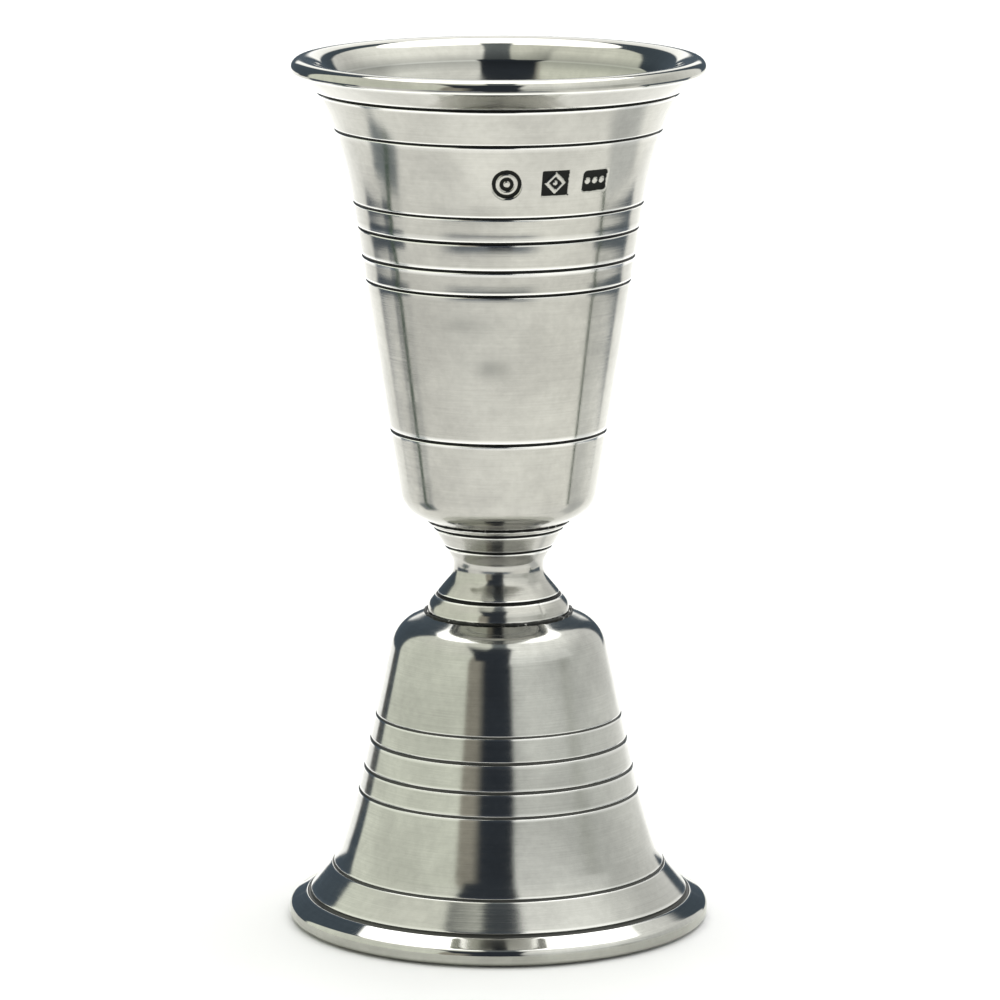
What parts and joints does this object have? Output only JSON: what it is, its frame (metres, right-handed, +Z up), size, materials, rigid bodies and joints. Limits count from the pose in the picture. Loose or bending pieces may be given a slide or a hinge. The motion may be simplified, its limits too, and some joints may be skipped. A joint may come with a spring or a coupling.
{
  "type": "bar jigger",
  "caption": "Double-ended pewter measure: a flared large cup over a smaller bell-shaped cup, joined by a turned waist stem.",
  "frame": {"origin": "on the axis of both cups, in the plane of the flat ring that the foot rests on", "axes": "+Z up the axis, from the small cup to the large one; the punched marks face -Y and run round towards +X"},
  "size_m": [0.0593, 0.0592, 0.1224],
  "materials": {
    "satin_pewter": "cast pewter, turned and brushed round the axis to a satin, with dark patina in the grooves and punched marks",
    "polished_pewter": "cast pewter, turned and buffed, with dark patina in the grooves",
    "stem_pewter": "cast pewter, turned, softly polished, with dark patina in the grooves",
    "solder": "soft solder, darkened by patina"
  },
  "bodies": {
    "root": {"large_cup": "satin_pewter", "small_cup": "polished_pewter", "waist_stem": "stem_pewter", "upper_solder_joint": "solder", "lower_solder_joint": "solder"}
  },
  "joints": []
}
